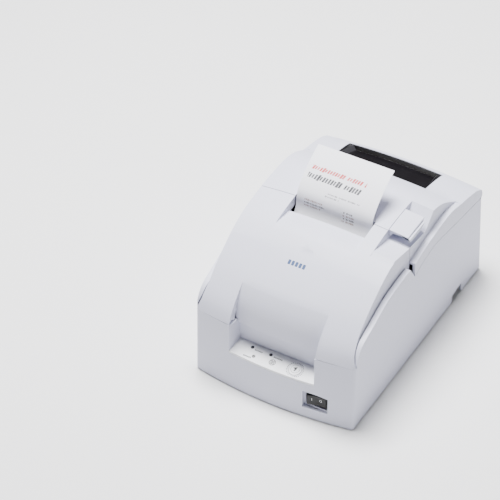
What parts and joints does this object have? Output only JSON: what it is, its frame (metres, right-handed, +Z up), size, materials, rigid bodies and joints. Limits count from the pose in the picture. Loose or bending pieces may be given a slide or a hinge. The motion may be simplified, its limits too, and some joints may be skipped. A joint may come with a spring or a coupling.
{
  "type": "receipt printer",
  "caption": "Desktop receipt printer with hinged front and roll covers, sunk control panel, impact carriage, ribbon, drop-in paper roll and cutter.",
  "frame": {"origin": "centre of the footprint, on the surface the feet stand on", "axes": "+X to the right seen from the front, -Y to the front with the control panel, +Z up"},
  "size_m": [0.16, 0.2479, 0.1675],
  "materials": {
    "case_plastic": "cool white ABS with a fine even spark texture",
    "panel_plastic": "smooth satin white panel",
    "dark_plastic": "black moulded plastic, faint grain",
    "rocker_plastic": "glossy black switch rocker",
    "smoked_window": "smoked polished plastic",
    "lamp_lens": "dark clear lens",
    "grey_plastic": "light grey moulded plastic",
    "cream_plastic": "acetal gear plastic",
    "rubber": "matt black rubber",
    "zinc_steel": "bright zinc plated sheet steel",
    "ground_steel": "ground and polished steel",
    "motor_steel": "drawn steel can",
    "head_alloy": "die cast finned alloy",
    "brass": "cut brass",
    "circuit_board": "green solder mask",
    "capacitor_sleeve": "dark blue shrink sleeve",
    "connector_blue": "blue moulded connector",
    "receipt_paper": "uncoated white bond paper",
    "core_card": "brown spiral card tube",
    "ribbon_fabric": "inked nylon ribbon"
  },
  "bodies": {
    "printer_base": {"lower_case": "case_plastic", "operation_panel": "panel_plastic", "status_lamps": "lamp_lens", "panel_board": "circuit_board", "switch_housing": "dark_plastic", "cover_hinge_pins": "ground_steel", "cover_stays": "zinc_steel", "roll_tub": "grey_plastic", "paper_web": "receipt_paper", "mechanism_base": "dark_plastic", "left_side_plate": "zinc_steel", "right_side_plate": "zinc_steel", "mechanism_screws": "ground_steel", "guide_shaft": "ground_steel", "guide_rail": "zinc_steel", "platen": "zinc_steel", "head_cable": "panel_plastic", "carriage_motor": "motor_steel", "idler_post": "ground_steel", "carriage_belt": "rubber", "feed_motor": "motor_steel", "ribbon_cassette": "dark_plastic", "ink_ribbon": "ribbon_fabric", "cutter_frame": "zinc_steel", "fixed_blade": "ground_steel", "cutter_motor": "motor_steel", "main_board": "circuit_board", "board_capacitors": "capacitor_sleeve", "connector_plate": "zinc_steel", "power_socket": "dark_plastic", "drawer_socket": "dark_plastic", "data_connector": "connector_blue", "base_plate": "zinc_steel", "rubber_feet": "rubber", "base_screws": "ground_steel"},
    "front_cover_body": {"front_cover": "case_plastic"},
    "roll_cover_body": {"roll_cover": "case_plastic", "roll_window": "smoked_window", "latch_spring": "ground_steel", "receipt_strip": "receipt_paper"},
    "lever_body": {"cover_lever": "case_plastic", "latch_shaft": "zinc_steel"},
    "button_body": {"feed_button": "panel_plastic"},
    "rocker_body": {"power_rocker": "rocker_plastic"},
    "carriage_body": {"carriage": "dark_plastic", "print_head": "head_alloy"},
    "drive_pulley_body": {"drive_pulley": "cream_plastic"},
    "idler_pulley_body": {"idler_pulley": "cream_plastic"},
    "feed_body": {"feed_roller": "rubber", "feed_gear": "cream_plastic"},
    "pinion_body": {"motor_pinion": "brass"},
    "pinch_body": {"pinch_roller": "grey_plastic"},
    "roll_body": {"paper_roll": "receipt_paper", "roll_core": "core_card"},
    "knob_body": {"ribbon_knob": "panel_plastic"},
    "blade_body": {"moving_blade": "ground_steel"},
    "cutter_pinion_body": {"cutter_pinion": "cream_plastic"}
  },
  "joints": [
    {"name": "front_cover_hinge", "type": "hinge", "parent": "printer_base", "child": "front_cover_body", "pos_m": [0, -0.1125, 0.0662], "axis": [1, 0, 0], "range_deg": [0, 60]},
    {"name": "roll_cover_hinge", "type": "hinge", "parent": "printer_base", "child": "roll_cover_body", "pos_m": [0, 0.122, 0.0897], "axis": [-1, 0, 0], "range_deg": [0, 75]},
    {"name": "cover_lever_hinge", "type": "hinge", "parent": "roll_cover_body", "child": "lever_body", "pos_m": [0, 0.0108, 0.1185], "axis": [-1, 0, 0], "range_deg": [0, 15], "stiffness_Nm_per_rad": 0.15, "springref_deg": -11.46},
    {"name": "feed_button_travel", "type": "slide", "parent": "printer_base", "child": "button_body", "axis": [0, 0.2079, -0.9781], "range_m": [0, 0.001], "stiffness_N_per_m": 300, "springref_m": -0.0005},
    {"name": "power_rocker_hinge", "type": "hinge", "parent": "printer_base", "child": "rocker_body", "pos_m": [0.045, -0.1151, 0.0205], "axis": [0, 0, -1], "range_deg": [0, 18]},
    {"name": "carriage_slide", "type": "slide", "parent": "printer_base", "child": "carriage_body", "axis": [1, 0, 0], "range_m": [-0.028, 0.028]},
    {"name": "drive_pulley_spin", "type": "hinge", "parent": "printer_base", "child": "drive_pulley_body", "pos_m": [-0.042, -0.055, 0.066], "axis": [0, 0, 1], "range_deg": [-270, 270]},
    {"name": "idler_pulley_spin", "type": "hinge", "parent": "printer_base", "child": "idler_pulley_body", "pos_m": [0.042, -0.055, 0.066], "axis": [0, 0, 1], "range_deg": [-270, 270]},
    {"name": "feed_roller_spin", "type": "hinge", "parent": "printer_base", "child": "feed_body", "pos_m": [0, -0.00735, 0.058], "axis": [-1, 0, 0], "continuous": true},
    {"name": "motor_pinion_spin", "type": "hinge", "parent": "printer_base", "child": "pinion_body", "pos_m": [0.0645, -0.02175, 0.0472], "axis": [-1, 0, 0], "continuous": true},
    {"name": "pinch_roller_spin", "type": "hinge", "parent": "printer_base", "child": "pinch_body", "pos_m": [0, -0.0184, 0.058], "axis": [-1, 0, 0], "continuous": true},
    {"name": "paper_roll_spin", "type": "hinge", "parent": "printer_base", "child": "roll_body", "pos_m": [0, 0.062, 0.0519], "axis": [-1, 0, 0], "continuous": true},
    {"name": "ribbon_knob_spin", "type": "hinge", "parent": "printer_base", "child": "knob_body", "pos_m": [-0.04, -0.069, 0.09], "axis": [0, 0, 1], "continuous": true},
    {"name": "cutter_blade_travel", "type": "slide", "parent": "printer_base", "child": "blade_body", "axis": [0, 1, 0], "range_m": [0, 0.005]},
    {"name": "cutter_pinion_spin", "type": "hinge", "parent": "printer_base", "child": "cutter_pinion_body", "pos_m": [0.0511, -0.027, 0.1156], "axis": [0, 0, 1], "range_deg": [-75, 0]}
  ],
  "couplings": [
    {"joint": "drive_pulley_spin", "follows": "carriage_slide", "rad_per_m": 166.67},
    {"joint": "idler_pulley_spin", "follows": "carriage_slide", "rad_per_m": 166.67},
    {"joint": "motor_pinion_spin", "follows": "feed_roller_spin", "ratio": -2.2},
    {"joint": "pinch_roller_spin", "follows": "feed_roller_spin", "ratio": -1.5},
    {"joint": "paper_roll_spin", "follows": "feed_roller_spin", "ratio": -0.15385},
    {"joint": "cutter_pinion_spin", "follows": "cutter_blade_travel", "rad_per_m": -250}
  ]
}
